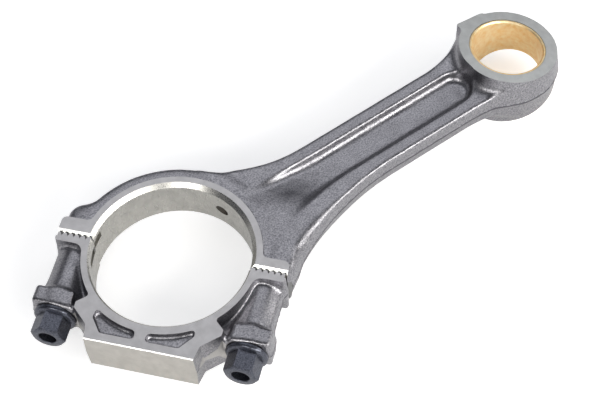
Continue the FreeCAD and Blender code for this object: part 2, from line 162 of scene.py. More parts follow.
SPLIT = math.radians(SPLIT_ANGLE - 90.0)
JOINT_TO_ROD = Matrix.Rotation(SPLIT, 4, "Z")
B_Z_TO_S_B_Z = Matrix(((0, 0, 1, 0), (1, 0, 0, 0), (0, 1, 0, 0), (0, 0, 0, 1)))


# ---- field tools ---------------------------------------------------------------
def smooth_min(a, b, width):
    """Smaller of two fields, blended over width; it joins two solids with a fillet."""
    mix = np.clip(0.5 + 0.5 * (b - a) / width, 0.0, 1.0)
    return b + (a - b) * mix - width * mix * (1.0 - mix)


def smooth_max(a, b, width):
    """Larger of two fields, blended over width; it keeps their common part, edges rounded."""
    return -smooth_min(-a, -b, width)


def smooth_step(low, high, value):
    """0 at low, 1 at high, with level ends; low may be the larger number."""
    t = np.clip((value - low) / (high - low), 0.0, 1.0)
    return t * t * (3.0 - 2.0 * t)


def forged_block(inside, top, z, edge, draft=DRAFT):
    """Drafted block with rounded edges; inside is the distance inside its outline at mid width."""
    return smooth_max(z * draft - inside, z - top, edge)


def box_inside(x, y, centre_x, centre_y, half_x, half_y, corner):
    """Distance inside a rectangle with rounded corners."""
    dx = np.abs(x - centre_x) - half_x + corner
    dy = np.abs(y - centre_y) - half_y + corner
    outside = np.hypot(np.maximum(dx, 0.0), np.maximum(dy, 0.0))
    return corner - outside - np.minimum(np.maximum(dx, dy), 0.0)


def capsule_inside(x, y, start, end, radius):
    """Distance inside a stadium drawn round the line from start to end."""
    run_x, run_y = end[0] - start[0], end[1] - start[1]
    along = ((x - start[0]) * run_x + (y - start[1]) * run_y) / (run_x ** 2 + run_y ** 2)
    along = np.clip(along, 0.0, 1.0)
    return radius - np.hypot(x - start[0] - along * run_x, y - start[1] - along * run_y)


def polygon_inside(x, y, points):
    """Distance inside a closed polygon."""
    nearest = np.full(np.broadcast(x, y).shape, 1e9)
    inside = np.zeros(nearest.shape, bool)
    for (x0, y0), (x1, y1) in zip(points, points[1:] + points[:1]):
        run_x, run_y = x1 - x0, y1 - y0
        along = ((x - x0) * run_x + (y - y0) * run_y) / (run_x ** 2 + run_y ** 2)
        along = np.clip(along, 0.0, 1.0)
        nearest = np.minimum(nearest, np.hypot(x - x0 - along * run_x, y - y0 - along * run_y))
        if y1 == y0:
            continue
        crosses = ((y0 > y) != (y1 > y)) & (x < x0 + run_x * (y - y0) / run_y)
        inside ^= crosses
    return np.where(inside, nearest, -nearest)


def waves(x, y, z, length, seed):
    """Smooth repeatable noise in about -1..1, built from a few plane waves about length long."""
    rng = np.random.default_rng(seed)
    total = np.zeros(np.broadcast(x, y, z).shape)
    wave_count = 9
    for _ in range(wave_count):
        direction = rng.normal(size=3)
        direction *= 2.0 * math.pi / length / np.linalg.norm(direction) * rng.uniform(0.6, 1.6)
        total += np.sin(direction[0] * x + direction[1] * y + direction[2] * z + rng.uniform(0, 6.28))
    return total / (wave_count / 2.0)


def flash_ridge(x, y, z):
    """Trimmed flash left round the parting plane of a forging."""
    uneven = 0.8 + 0.4 * waves(x, y, 0.0 * z, 5.0, 5)
    return FLASH_HEIGHT * uneven * np.exp(-(z / FLASH_HALF_WIDTH) ** 2)


def mesh_from_field(name, field, low, step):
    """Mesh of the zero surface of a field known for z >= 0, mirrored to both sides."""
    full = np.concatenate([field[:, :, :0:-1], field], axis=2).astype(np.float32)
    background = 3.0
    grid = openvdb.FloatGrid(background)
    grid.copyFromArray(full)
    points, triangles, quads = grid.convertToPolygons(0.0, 0.0)
    half_layers = field.shape[2] - 1
    points = points * step + np.array([low[0], low[1], -half_layers * step])
    faces = triangles.tolist() + quads.tolist()
    mesh = bpy.data.meshes.new(name)
    mesh.from_pydata((points * MM).tolist(), [], faces)
    mesh.validate()
    mesh.update()
    return new_object(name, mesh)


def grid_axes(low, high, step):
    """Open coordinate arrays over a box that starts at mid width."""
    count = [int(round((last - first) / step)) + 1 for first, last in zip(low, high)]
    x = (low[0] + step * np.arange(count[0]))[:, None, None]
    y = (low[1] + step * np.arange(count[1]))[None, :, None]
    z = (low[2] + step * np.arange(count[2]))[None, None, :]
    return x, y, z


def to_joint(x, y):
    """Joint-frame S and B of rod-frame X and Y."""
    return x * math.cos(SPLIT) + y * math.sin(SPLIT), -x * math.sin(SPLIT) + y * math.cos(SPLIT)


# ---- rod forging -----------------------------------------------------------------
def shank_inside(x, y):
    """Distance inside the outline of neck, shank and flare: parallel between two pairs of arcs."""
    ring_tuck = RING_TUCK * smooth_step(*RING_TUCK_X, x)
    upper = arc_side(x, y, UPPER_NECK, UPPER_FLARE) - ring_tuck
    lower = arc_side(x, -y, LOWER_NECK, LOWER_FLARE)
    shoulder = SHOULDER_DISTANCE - SHOULDER_NORMAL[0] * x - SHOULDER_NORMAL[1] * y
    lower = np.where(x < SHOULDER_END_X, smooth_min(lower, shoulder, width=3.0), lower)
    ends = np.minimum(x - SHANK_START_X, SHANK_END_X - x)
    return np.minimum(np.minimum(upper, lower), ends)


def arc_side(x, y, neck, flare):
    """Distance under a side that is an arc at the neck, then straight, then an arc at the flare."""
    neck_x, neck_radius = neck
    flare_x, flare_radius = flare
    half = SHANK_HALF_WIDTH
    under_neck = np.hypot(x - neck_x, y - half - neck_radius) - neck_radius
    under_flare = np.hypot(x - flare_x, y - half - flare_radius) - flare_radius
    return np.where(x < neck_x, under_neck, np.where(x > flare_x, under_flare, half - y))


def shank_top(x):
    """Height of the forged skin over mid width along the rod."""
    fall = (FORGED_HALF - SHANK_HALF_THICKNESS) * smooth_step(*NECK_FALL_X, x)
    rise = FLARE_RISE * smooth_step(*FLARE_RISE_X, x)
    return FORGED_HALF - fall + rise


def trough_inside(x, y):
    """Distance inside the outline of the trough between the rails."""
    half = TROUGH_HALF_WIDTH
    end_centre = TROUGH_END_X - half
    curve_x, curve_radius = TROUGH_CURVE
    curved = np.hypot(x - curve_x, y + half + curve_radius) - curve_radius
    inside = np.minimum(half - y, np.where(x < curve_x, curved, y + half))
    inside = np.where(x > end_centre, half - np.hypot(x - end_centre, y), inside)
    return np.minimum(inside, np.hypot(x, y) - RING_RADIUS - TROUGH_RING_GAP)


def trough_floor(x, y):
    """Height of the trough's floor, which rises to the surface beside the thrust ring."""
    rise = FORGED_HALF - WEB_HALF_THICKNESS
    upper_run, upper_power = 55.0, 1.6
    lower_run = 54.0
    short = np.maximum(TROUGH_LEVEL_FROM_X - x, 0.0)
    upper_rise = rise * (short / upper_run) ** upper_power
    lower_rise = rise * smooth_step(0.0, lower_run, short)
    lower_share = smooth_step(9.0, -15.0, y)
    return WEB_HALF_THICKNESS - TROUGH_EXTRA_DEPTH + upper_rise + (lower_rise - upper_rise) * lower_share


def trough_field(x, y, z):
    """Cove between the rails, with slanted walls."""
    wall_slope = 0.14
    wall = wall_slope * np.maximum(shank_top(x) - z, 0.0) - trough_inside(x, y)
    return smooth_max(trough_floor(x, y) - z, wall, width=5.5)


def bolt_lump(s, b, z, ridge, stadium, edge, draft=DRAFT):
    """Rounded lump that holds one bolt's thread."""
    start, end, radius = stadium
    inside = capsule_inside(s, b, start, end, radius) + ridge
    return forged_block(inside, FORGED_HALF, z, edge, draft)


def shank_field(x, y, z, ridge):
    """Shank with neck and flare; the neck's lower edge is rounded more towards the joint."""
    neck_edge = NECK_EDGE * smooth_step(*NECK_EDGE_X, x) * smooth_step(0.0, -20.0, y)
    return forged_block(shank_inside(x, y) + ridge, shank_top(x), z, 3.0 + neck_edge)


def small_end_boss(x, y, z, ridge):
    """Round boss of the small end."""
    radius = np.hypot(x - CENTRE_DISTANCE, y)
    return forged_block(SMALL_OUTER_RADIUS - radius + ridge, OPEN_TOP, z, edge=1.0)


def locating_lug(x, y, z, ridge):
    """Square lug on the upper side of the small end."""
    inside = box_inside(x, y, *LUG_CENTRE, *LUG_HALF, corner=1.5)
    return forged_block(inside + ridge, OPEN_TOP, z, edge=1.0, draft=0.03)


def joint_pads(s, b, z):
    """Raised flats on both sides of the bore beside the joint."""
    left = box_inside(s, b, -JOINT_BLOCK_CENTRE_S, 0.0, JOINT_PAD_HALF_S, LEFT_PAD_HALF_B, corner=3.5)
    right = box_inside(s, b, JOINT_BLOCK_CENTRE_S, 0.0, JOINT_PAD_HALF_S, RIGHT_PAD_HALF_B, corner=4.0)
    return smooth_max(smooth_min(-left, -right, width=0.1), z - 20.0, width=0.5)


def rod_field(x, y, z):
    """Rod blank: the eye with its lumps, the shank, the small end, the trough and the raised flats."""
    s, b = to_joint(x, y)
    radius = np.hypot(x, y)
    ridge = flash_ridge(x, y, z)
    rod = forged_block(EYE_RADIUS - radius + ridge, FORGED_HALF, z, edge=4.0)
    rod = smooth_min(rod, bolt_lump(s, b, z, ridge, LEFT_LUMP, edge=6.5, draft=0.1), width=5.0)
    rod = smooth_min(rod, bolt_lump(s, b, z, ridge, RIGHT_LUMP, edge=10.0), width=8.0)
    rod = smooth_min(rod, shank_field(x, y, z, ridge), width=5.0)
    limit_lift = 20.0 * smooth_step(150.0, 200.0, x)    # the big end's height limit ends here
    rod = smooth_max(rod, z - FORGED_HALF - limit_lift, width=3.5)
    rod = smooth_min(rod, small_end_boss(x, y, z, ridge), width=7.0)
    rod = smooth_min(rod, locating_lug(x, y, z, ridge), width=2.0)
    rod = smooth_max(rod, -trough_field(x, y, z), width=2.4)
    rod = rod + 0.035 * waves(x, y, z, 14.0, 3) + 0.02 * waves(x, y, z, 5.0, 4)
    ring = forged_block(RING_RADIUS - radius, 20.0, z, edge=0.5, draft=0.0)
    ring = smooth_min(ring, joint_pads(s, b, z), width=3.0)
    return smooth_min(rod, ring, width=0.8)


def make_rod_forging():
    """Rod blank, meshed over a box that clears it on every side."""
    low = (-66.0, -72.0, 0.0)
    high = (294.0, 78.0, 30.0)
    x, y, z = grid_axes(low, high, GRID_STEP)
    return mesh_from_field("rod_body_look", rod_field(x, y, z), low, GRID_STEP)


# ---- cap forging -------------------------------------------------------------------
def cap_plate_inside(s, b):
    """Distance inside the full-width part of the cap: ring, joint blocks and balance foot."""
    ring = CAP_RING_RADIUS - np.hypot(s, b)
    block_half = JOINT_HALF_LENGTH - JOINT_BLOCK_CENTRE_S
    block = box_inside(np.abs(s), b, JOINT_BLOCK_CENTRE_S, 0.2, block_half, JOINT_BLOCK_DEPTH, corner=2.5)
    half_foot = [(34.0, -72.0), (34.0, -66.0), (35.5, -57.0), (45.8, -47.5), (46.0, -43.0), (38.0, -36.0)]
    foot = polygon_inside(s, b, half_foot + [(-s, b) for s, b in reversed(half_foot)])
    return smooth_max(smooth_max(ring, block, width=6.0), foot, width=2.5)


def pocket_field(s, b, z):
    """Shallow pocket between bore and balance pad, one each side."""
    core = [(5.6, -58.3), (23.0, -58.3), (28.8, -50.5), (28.0, -45.0), (5.6, -45.0)]
    core_margin = 2.2
    inside = polygon_inside(np.abs(s + POCKET_SHIFT), b, core) + core_margin
    inside = smooth_min(inside, np.hypot(s, b) - POCKET_ARC_RADIUS, width=3.0)
    wall = 0.22 * (HALF_WIDTH - z) - inside
    return smooth_max(HALF_WIDTH - POCKET_DEPTH - z, wall, width=2.0)


def column_field(side_s, b, z):
    """Round bolt column with its square boss, and the thin web that ties it to the ring."""
    web_inside = box_inside(side_s, b, 55.0, -21.0, half_x=14.0, half_y=25.5, corner=2.0)
    web = forged_block(web_inside, CAP_WEB_HALF_Z, z, edge=3.0)
    rim_half = 1.9
    rim_inside = box_inside(side_s, b, 50.0, BOSS_END_B + rim_half, 10.0, rim_half, corner=1.0)
    web = smooth_min(web, forged_block(rim_inside, CAP_RIM_HALF_Z, z, edge=2.5), width=2.5)
    swell = COLUMN_SWELL * smooth_step(-22.0, -40.0, b)
    barrel = np.hypot(side_s - BOLT_OFFSET, z) - COLUMN_RADIUS - swell
    barrel = smooth_max(barrel, BOSS_END_B + 3.0 - b, width=2.0)
    boss_b = (BOSS_END_B + BOSS_START_B) / 2
    boss_half_b = (BOSS_START_B - BOSS_END_B) / 2
    boss_inside = box_inside(side_s, b, BOSS_CENTRE_S, boss_b, BOSS_HALF_S, boss_half_b, corner=3.0)
    boss = forged_block(boss_inside, BOSS_HALF_Z, z, edge=2.5)
    return smooth_min(smooth_min(barrel, boss, width=3.0), web, width=5.0)


def cap_field(s, b, z):
    """Cap blank: the full-width plate, a column on each side and the pockets."""
    plate = forged_block(cap_plate_inside(s, b), 22.0, z, edge=1.0, draft=0.05)
    column = column_field(np.abs(s), b, z) - flash_ridge(s, b, z) + 0.035 * waves(s, b, z, 14.0, 7)
    cap = smooth_min(plate, column, width=3.0)
    return smooth_max(cap, -pocket_field(s, b, z), width=0.6)


def make_cap_forging():
    """Cap blank in the joint frame, meshed over a box that clears it on every side."""
    low = (-84.0, -72.0, 0.0)
    high = (84.0, 6.0, 24.0)
    s, b, z = grid_axes(low, high, GRID_STEP)
    return mesh_from_field("bearing_cap_look", cap_field(s, b, z), low, GRID_STEP)


# ---- cutting tools ---------------------------------------------------------------
def new_object(name, mesh):
    """Object in the scene from a mesh."""
    obj = bpy.data.objects.new(name, mesh)
    bpy.context.scene.collection.objects.link(obj)
    return obj


def turned(name, profile, segments, material):
    """Closed solid turned round Z from (radius, z) points listed from bottom to top."""
    vertices = []
    for radius, z in profile:
        for step in range(segments):
            angle = 2.0 * math.pi * step / segments
            vertices.append((radius * math.cos(angle), radius * math.sin(angle), z))
    return solid(name, vertices, ring_faces(len(profile), segments), material)


def ring_faces(rings, segments):
    """Faces of a closed skin through equal rings of points, with both ends capped."""
    faces = []
    for ring in range(rings - 1):
        for step in range(segments):
            a = ring * segments + step
            b = ring * segments + (step + 1) % segments
            faces.append((a, b, b + segments, a + segments))
    faces.append(tuple(range(segments))[::-1])
    faces.append(tuple(range((rings - 1) * segments, rings * segments)))
    return faces


def swept(name, outline, start, end, material, cuts=0):
    """Prism of an (x, y) outline between two heights; cuts splits its quads into a fine grid."""
    count = len(outline)
    vertices = [(x, y, start) for x, y in outline] + [(x, y, end) for x, y in outline]
    faces = [(i, (i + 1) % count, count + (i + 1) % count, count + i) for i in range(count)]
    faces.append(tuple(range(count))[::-1])
    faces.append(tuple(range(count, 2 * count)))
    return solid(name, vertices, faces, material, cuts)


def solid(name, vertices, faces, material, cuts=0):
    """Closed triangulated object from points in mm; cuts splits its faces into a fine grid."""
    mesh = bpy.data.meshes.new(name)
    mesh.from_pydata([tuple(c * MM for c in v) for v in vertices], [], faces)
    mesh.materials.append(material)
    work = bmesh.new()
    work.from_mesh(mesh)
    bmesh.ops.recalc_face_normals(work, faces=work.faces)
    if cuts:
        bmesh.ops.subdivide_edges(work, edges=work.edges, cuts=cuts, use_grid_fill=True)
    bmesh.ops.triangulate(work, faces=work.faces)
    work.to_mesh(mesh)
    work.free()
    return new_object(name, mesh)


def placed(obj, matrix):
    """The object with its points moved by a matrix."""
    obj.data.transform(matrix)
    return obj


def carve(obj, cutter, operation="DIFFERENCE"):
    """Apply one boolean and drop the cutter; new faces keep the cutter's material."""
    modifier = obj.modifiers.new("carve", "BOOLEAN")
    modifier.object = cutter
    modifier.operation = operation
    modifier.solver = "MANIFOLD"
    modifier.material_mode = "TRANSFER"
    depsgraph = bpy.context.evaluated_depsgraph_get()
    mesh = bpy.data.meshes.new_from_object(obj.evaluated_get(depsgraph))
    obj.modifiers.clear()
    obj.data = mesh
    bpy.data.objects.remove(cutter)


def along_b(s, b):
    """Turns a Z-axis tool so that it points along +B from a joint-frame point."""
    return Matrix.Translation(Vector((s, b, 0)) * MM) @ Matrix.Rotation(math.radians(-90), 4, "X")


def bore_tool(chamfer, material):
    """Big-end bore with a 45 degree chamfer at both ends."""
    radius = BIG_BORE_RADIUS
    past_face = 4.0
    flare = chamfer + past_face
    high = HALF_WIDTH + past_face
    profile = [(radius + flare, -high), (radius, -HALF_WIDTH + chamfer),
               (radius, HALF_WIDTH - chamfer), (radius + flare, high)]
    return turned("bore", profile, 240, material)


def joint_tool(far_b, top_b, material):
    """Everything beyond the serrated joint on the side of far_b; the teeth are cut flat at top_b."""
    spare_teeth = 3
    teeth = int(JOINT_HALF_LENGTH / SERRATION_PITCH) + spare_teeth
    half_pitch = SERRATION_PITCH / 2
    least_half_flat = 0.15
    half_flat = least_half_flat + half_pitch * (ROD_ROOT_B - top_b) / (ROD_ROOT_B - TOOTH_CREST_B)
    outline = []
    for tooth in range(-teeth, teeth):
        left = tooth * SERRATION_PITCH
        outline.append((left, TOOTH_CREST_B))
        outline.append((left + half_pitch - half_flat, top_b))
        outline.append((left + half_pitch + half_flat, top_b))
    outline += [(teeth * SERRATION_PITCH, TOOTH_CREST_B), (CLEAR, TOOTH_CREST_B), (CLEAR, far_b),
                (-CLEAR, far_b), (-CLEAR, TOOTH_CREST_B)]
    return swept("joint", outline, -OPEN_TOP, OPEN_TOP, material, 11)


def finish_mesh(obj, angle):
    """Smooth shading with creases where faces turn by more than an angle in degrees."""
    obj.data.shade_smooth()
    obj.data.set_sharp_from_angle(angle=math.radians(angle))


# ---- machining the rod -----------------------------------------------------------
def side_envelope(upper, material):
    """Room between two faces, from the upper one's (x, z) side profile."""
    outline = upper + [(x, -z) for x, z in reversed(upper)]
    envelope = swept("envelope", outline, -CLEAR, CLEAR, material, 30)
    return placed(envelope, Matrix.Rotation(math.radians(90), 4, "X"))


def thrust_envelope(material):
    """Flat faces of the big end; the small end is left alone."""
    past_end_x = 330.0
    return side_envelope([(-CLEAR, HALF_WIDTH), (SHANK_MIDDLE_X, HALF_WIDTH),
                          (SHANK_MIDDLE_X, CLEAR_HALF), (past_end_x, CLEAR_HALF)], material)


def wedge_envelope(material):
    """Inclined faces of the small end; the big end is left alone."""
    far_x = CENTRE_DISTANCE + 60.0
    near_z = SMALL_HALF_WIDTH + (CENTRE_DISTANCE - SHANK_MIDDLE_X) * WEDGE_SLOPE
    far_z = SMALL_HALF_WIDTH - (far_x - CENTRE_DISTANCE) * WEDGE_SLOPE
    return side_envelope([(-CLEAR, CLEAR_HALF), (SHANK_MIDDLE_X, CLEAR_HALF),
                          (SHANK_MIDDLE_X, near_z), (far_x, far_z)], material)


def oil_tool(material):
    """Drilling from the big-end bore through to the bush, with a countersunk mouth."""
    angle = math.radians(OIL_START_ANGLE)
    start = Vector((BIG_BORE_RADIUS * math.cos(angle), BIG_BORE_RADIUS * math.sin(angle), 0))
    target = Vector((CENTRE_DISTANCE - BUSH_OUTER_RADIUS, 0, 0))
    length = (target - start).length
    profile = [(OIL_MOUTH_RADIUS + 3.0, -3.0), (OIL_DRILL_RADIUS, OIL_MOUTH_RADIUS - OIL_DRILL_RADIUS),
               (OIL_DRILL_RADIUS, length + 4.0)]
    tool = turned("oil_tool", profile, 32, material)
    turn = (target - start).to_track_quat("Z", "Y").to_matrix().to_4x4()
    return placed(tool, Matrix.Translation(start * MM) @ turn)


def bevel_tool(side, material):
    """Bevel that breaks the rod's joint face at one width end."""
    below = 4.0
    past_face = 1.0
    inner = side * (HALF_WIDTH - JOINT_EDGE_CHAMFER)
    outer = side * (HALF_WIDTH + past_face)
    outline = [(-below, inner - side * below), (JOINT_EDGE_CHAMFER + past_face, outer), (-below, outer)]
    tool = swept("bevel_tool", outline, -90.0, 90.0, material, 15)
    return placed(tool, B_Z_TO_S_B_Z)


def tang_tool(b_low, b_high, z_centre, material):
    """Slot in the bore wall beside the joint for a bearing shell's tang."""
    left = -BIG_BORE_RADIUS - TANG_DEPTH
    right = left + 5.0
    outline = [(left, b_low), (right, b_low), (right, b_high), (left, b_high)]
    return swept("tang_tool", outline, z_centre - TANG_HALF_WIDTH, z_centre + TANG_HALF_WIDTH, material)


def thread_hole_tool(side, material):
    """Blind bolt hole with a countersunk mouth and a drill point."""
    radius = BOLT_HOLE_RADIUS
    mouth_b = -1.3
    point_radius, point_length = 0.4, 3.0
    profile = [(radius + THREAD_HOLE_CHAMFER, mouth_b), (radius, 0.0), (radius, THREAD_HOLE_DEPTH),
               (point_radius, THREAD_HOLE_DEPTH + point_length)]
    return placed(turned("thread_tool", profile, 64, material), along_b(side * BOLT_OFFSET, 0))


def bush_seat_tool(material):
    """Plain bore of the small end."""
    radius = BUSH_OUTER_RADIUS + BUSH_EDGE_GAP
    seat = turned("small_bore", [(radius, -OPEN_TOP), (radius, OPEN_TOP)], 180, material)
    return placed(seat, Matrix.Translation((CENTRE_DISTANCE * MM, 0, 0)))


def make_rod(paint):
    """Rod forging, then its machining in workshop order."""
    rod = make_rod_forging()
    rod.data.materials.append(paint["forged"])
    carve(rod, thrust_envelope(paint["face"]), "INTERSECT")
    carve(rod, wedge_envelope(paint["small_face"]), "INTERSECT")
    carve(rod, placed(joint_tool(-CLEAR_B, ROD_ROOT_B, paint["teeth"]), JOINT_TO_ROD))
    for side in (-1, 1):
        carve(rod, placed(bevel_tool(side, paint["joint"]), JOINT_TO_ROD))
        carve(rod, placed(thread_hole_tool(side, paint["bore"]), JOINT_TO_ROD))
    carve(rod, bore_tool(ROD_BORE_CHAMFER, paint["bore"]))
    carve(rod, bush_seat_tool(paint["bore"]))
    # the drilling's walls carry painted shade, a near-black colour
    carve(rod, oil_tool(paint["drilling"]))
    carve(rod, placed(tang_tool(*ROD_TANG, paint["bore"]), JOINT_TO_ROD))
    finish_mesh(rod, 32.0)
    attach(rod, "rod")
    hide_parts("rod_body")


# ---- machining the cap -------------------------------------------------------------
def make_cap(paint):
    """Cap forging, machined in the joint frame and then turned into place."""
    cap = make_cap_forging()
    cap.data.materials.append(paint["forged"])
    carve(cap, slab_tool(paint["face"]), "INTERSECT")
    carve(cap, pad_end_tool(paint["pad"]))
    for side in (-1, 1):
        carve(cap, foot_side_tool(side, paint["milled"]))
        carve(cap, pad_edge_tool(side, paint["joint"]))
        # the relief's faces carry painted shade, a near-black colour
        carve(cap, joint_relief_tool(side, paint["drilling"]))
    carve(cap, joint_tool(CLEAR_B, CAP_CREST_B, paint["teeth"]))
    for side in (-1, 1):
        cut_seat(cap, side, paint)
    carve(cap, bore_tool(CAP_BORE_CHAMFER, paint["bore"]))
    carve(cap, tang_tool(*CAP_TANG, paint["bore"]))
    cap.data.transform(JOINT_TO_ROD)
    finish_mesh(cap, 32.0)
    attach(cap, "cap")
    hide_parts("bearing_cap")


def slab_tool(material):
    """Room between the two thrust faces."""
    outline = [(-100.0, -100.0), (100.0, -100.0), (100.0, 40.0), (-100.0, 40.0)]
    return swept("slab", outline, -HALF_WIDTH, HALF_WIDTH, material, 30)


def pad_end_tool(material):
    """Faces the balance pad."""
    outline = [(-60.0, -90.0), (60.0, -90.0), (60.0, BALANCE_PAD_END), (-60.0, BALANCE_PAD_END)]
    return swept("beyond", outline, -CUT_HALF, CUT_HALF, material, 10)


def joint_relief_tool(side, material):
    """Narrow relief at the outer end of the joint, seen as a dark line between the blocks; its cut faces
    carry painted shade, a near-black colour.
    """
    clear = 3.0
    near = side * (JOINT_HALF_LENGTH - RELIEF_LENGTH)
    far = side * (JOINT_HALF_LENGTH + clear)
    outline = [(near, -RELIEF_DEPTH), (far, -RELIEF_DEPTH), (far, clear), (near, clear)]
    return swept("joint_relief", outline, -CUT_HALF, CUT_HALF, material)


def foot_side_tool(side, material):
    """Skims the slanted side of the balance foot."""
    outline = [(33.8, -68.0), (35.3, -57.1), (45.2, -47.7), (60.0, -47.7), (60.0, -68.0)]
    return swept("foot_side", [(side * s, b) for s, b in outline], -CUT_HALF, CUT_HALF, material, 6)


def pad_edge_tool(side, material):
    """Breaks the long edge of the balance pad at one width end."""
    reach = 1.0
    outline = [(BALANCE_PAD_END - reach, side * (HALF_WIDTH - PAD_EDGE_CHAMFER - reach)),
               (BALANCE_PAD_END + PAD_EDGE_CHAMFER + reach, side * (HALF_WIDTH + reach)),
               (BALANCE_PAD_END - reach, side * (HALF_WIDTH + reach))]
    tool = swept("pad_edge", outline, -50.0, 50.0, material, 10)
    return placed(tool, B_Z_TO_S_B_Z)


def cut_seat(cap, side, paint):
    """Flat round seat and bolt hole of one column."""
    reach = 8.0
    start = SEAT_B - reach
    face = turned("seat", [(SEAT_RADIUS, 0.0), (SEAT_RADIUS, reach)], 96, paint["face"])
    carve(cap, placed(face, along_b(side * BOLT_OFFSET, start)))
    past_column = 90.0
    hole = turned("hole", [(BOLT_HOLE_RADIUS, -20.0), (BOLT_HOLE_RADIUS, past_column)], 64, paint["bore"])
    carve(cap, placed(hole, along_b(side * BOLT_OFFSET, start)))


# ---- bush ----------------------------------------------------------------------
def paint_bush(bush, material):
    """The bush is the CAD's own piece with a new material."""
    bush.data.materials.clear()
    bush.data.materials.append(material)


# ---- bolts ---------------------------------------------------------------------
def hexagon_radius(angle):
    """Radius of the head at an angle, with slightly broken corners."""
    turn = math.radians(60.0)
    from_flat = (angle - math.radians(HEX_TURN) + turn / 2.0) % turn - turn / 2.0
    return min(HEX_ACROSS_FLATS / 2.0 / math.cos(from_flat), HEX_CORNER_RADIUS)


def head_radius(angle, z):
    """Radius of the hexagon, cut by the cone that crowns its outer end."""
    crown = HEX_ACROSS_FLATS / 2.0 - CROWN_STEP + CROWN_SLOPE * (z + HEAD_HEIGHT)
    return min(hexagon_radius(angle), crown)


def thread_radius(angle, z):
    """Radius of a helical V thread that fades out at both ends."""
    phase = (z / THREAD_PITCH - angle / (2.0 * math.pi)) % 1.0
    groove = 1.0 - abs(2.0 * phase - 1.0)
    start_fade = min(max((z - THREAD_FROM_Z) / THREAD_PITCH, 0.0), 1.0)
    end_fade = min(max((THREAD_TO_Z - z) / THREAD_PITCH, 0.0), 1.0)
    crest = BOLT_RADIUS - THREAD_DEPTH * (1.0 - end_fade)
    return crest - THREAD_DEPTH * groove * start_fade * end_fade


def bolt_rings():
    """Rings of the bolt as (radius rule, z), from the bottom of the hollow to the bolt tip."""
    def constant(radius):
        return lambda angle, z: radius

    mouth = -HEAD_HEIGHT
    edge = 0.4
    point_radius, point_length = 0.2, 1.6
    hollow = [(point_radius, mouth + HEAD_HOLLOW_DEPTH + point_length),
              (HEAD_HOLLOW_RADIUS, mouth + HEAD_HOLLOW_DEPTH),
              (HEAD_HOLLOW_RADIUS, mouth + edge), (HEAD_HOLLOW_RADIUS + edge, mouth)]
    rings = [(constant(radius), z) for radius, z in hollow]
    rings += [(head_radius, mouth + step) for step in (0.0, 0.4, 0.8, 1.2, 1.7, 3.0)]
    rings += [(head_radius, -FLANGE_HEIGHT - edge)]
    rounding = [(1.4, -FLANGE_HEIGHT), (0.7, -2.9), (0.2, -2.4), (0.0, -1.7), (0.0, -0.4), (0.3, 0.0)]
    flange = [(FLANGE_RADIUS - inset, z) for inset, z in rounding]
    step_length = 1.0
    shank = [(BOLT_RADIUS, 0.0), (BOLT_RADIUS, WAIST_FROM_Z - step_length),
             (BOLT_WAIST_RADIUS, WAIST_FROM_Z), (BOLT_WAIST_RADIUS, THREAD_FROM_Z - step_length)]
    rings += [(constant(radius), z) for radius, z in flange + shank]
    steps = int((THREAD_TO_Z - THREAD_FROM_Z) / THREAD_PITCH * THREAD_RINGS_PER_TURN)
    for step in range(steps + 1):
        rings.append((thread_radius, THREAD_FROM_Z + step * THREAD_PITCH / THREAD_RINGS_PER_TURN))
    rings.append((constant(BOLT_TIP_RADIUS), THREAD_TO_Z + 0.6))
    return rings


def make_bolt(side, body, node, paint):
    """Whole bolt as one skin of rings, placed in its column."""
    rings = bolt_rings()
    vertices = []
    for rule, z in rings:
        for step in range(BOLT_SEGMENTS):
            angle = 2.0 * math.pi * step / BOLT_SEGMENTS
            radius = rule(angle, z)
            vertices.append((radius * math.cos(angle), radius * math.sin(angle), z))
    faces = ring_faces(len(rings), BOLT_SEGMENTS)
    bolt = solid(node + "_look", vertices, faces, paint["black"])
    bolt.data.transform(JOINT_TO_ROD @ along_b(side * BOLT_OFFSET, SEAT_B))
    finish_mesh(bolt, 35.0)
    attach(bolt, body)
    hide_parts(node)


# ---- materials ------------------------------------------------------------------
def metal(name, colour, roughness, metallic=1.0):
    """Plain metal; vary and bump then give it life."""
    material = bpy.data.materials.new(name)
    material.use_nodes = True
    shader = material.node_tree.nodes["Principled BSDF"]
    shader.inputs["Base Color"].default_value = (*colour, 1.0)
    shader.inputs["Roughness"].default_value = roughness
    shader.inputs["Metallic"].default_value = metallic
    return material


def add_noise(material, size, detail=3.0, stretch=(1.0, 1.0, 1.0)):
    """Noise in object space whose blobs are about size mm across."""
    nodes, links = material.node_tree.nodes, material.node_tree.links
    place = nodes.new("ShaderNodeTexCoord")
    scale = nodes.new("ShaderNodeMapping")
    scale.inputs["Scale"].default_value = stretch
    noise = nodes.new("ShaderNodeTexNoise")
    noise.inputs["Scale"].default_value = 1.0 / (size * MM)
    noise.inputs["Detail"].default_value = detail
    links.new(place.outputs["Object"], scale.inputs["Vector"])
    links.new(scale.outputs["Vector"], noise.inputs["Vector"])
    return noise.outputs["Fac"]


def vary(material, socket, noise, low, high):
    """Drive one shader input between two values by a noise."""
    nodes, links = material.node_tree.nodes, material.node_tree.links
    shader = nodes["Principled BSDF"]
    ramp = nodes.new("ShaderNodeValToRGB")
    ramp.color_ramp.elements[0].position = 0.32
    ramp.color_ramp.elements[1].position = 0.68
    for element, value in zip(ramp.color_ramp.elements, (low, high)):
        element.color = (*value, 1.0) if isinstance(value, tuple) else (value, value, value, 1.0)
    links.new(noise, ramp.inputs["Fac"])
    links.new(ramp.outputs["Color"], shader.inputs[socket])


def bump(material, noise, depth):
    """Relief of about depth mm; several calls add up."""
    nodes, links = material.node_tree.nodes, material.node_tree.links
    shader = nodes["Principled BSDF"]
    relief = nodes.new("ShaderNodeBump")
    relief.inputs["Distance"].default_value = depth * MM
    links.new(noise, relief.inputs["Height"])
    if shader.inputs["Normal"].is_linked:
        links.new(shader.inputs["Normal"].links[0].from_socket, relief.inputs["Normal"])
    links.new(relief.outputs["Normal"], shader.inputs["Normal"])


